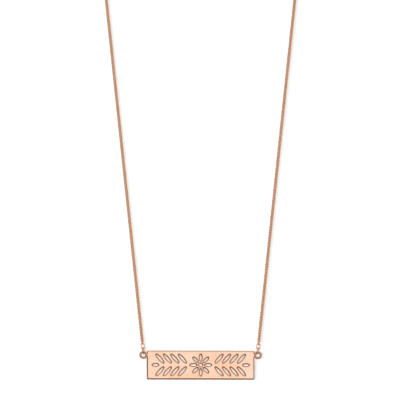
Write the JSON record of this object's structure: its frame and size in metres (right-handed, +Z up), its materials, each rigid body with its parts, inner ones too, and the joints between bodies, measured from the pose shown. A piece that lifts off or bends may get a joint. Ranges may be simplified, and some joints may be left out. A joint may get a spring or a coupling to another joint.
{
  "type": "nameplate necklace",
  "caption": "Fine cable chain necklace with a flat rectangular bar pendant, pierced with leaves and a rosette, hung by rings at its upper corners, with a spring ring clasp.",
  "frame": {"origin": "where the loop rests on the crown of the round form it hangs over, under the middle of the clasp", "axes": "+Z up, away from the hanging bar; -Y is the bar's face; the loop lies in the X-Z plane"},
  "size_m": [0.0686, 0.0052, 0.2004],
  "materials": {
    "bar_gold": "polished rose gold, faintly mottled, edges softened by polishing",
    "wire_gold": "polished drawn rose gold wire",
    "chain_gold": "polished rose gold cable links"
  },
  "bodies": {
    "root": {"nameplate": "bar_gold", "jump_ring_left": "wire_gold", "jump_ring_right": "wire_gold", "end_link_left": "wire_gold", "end_link_right": "wire_gold", "chain_left": "chain_gold", "chain_right": "chain_gold", "clasp": "wire_gold", "clasp_ring": "wire_gold", "end_ring": "wire_gold"}
  },
  "joints": []
}
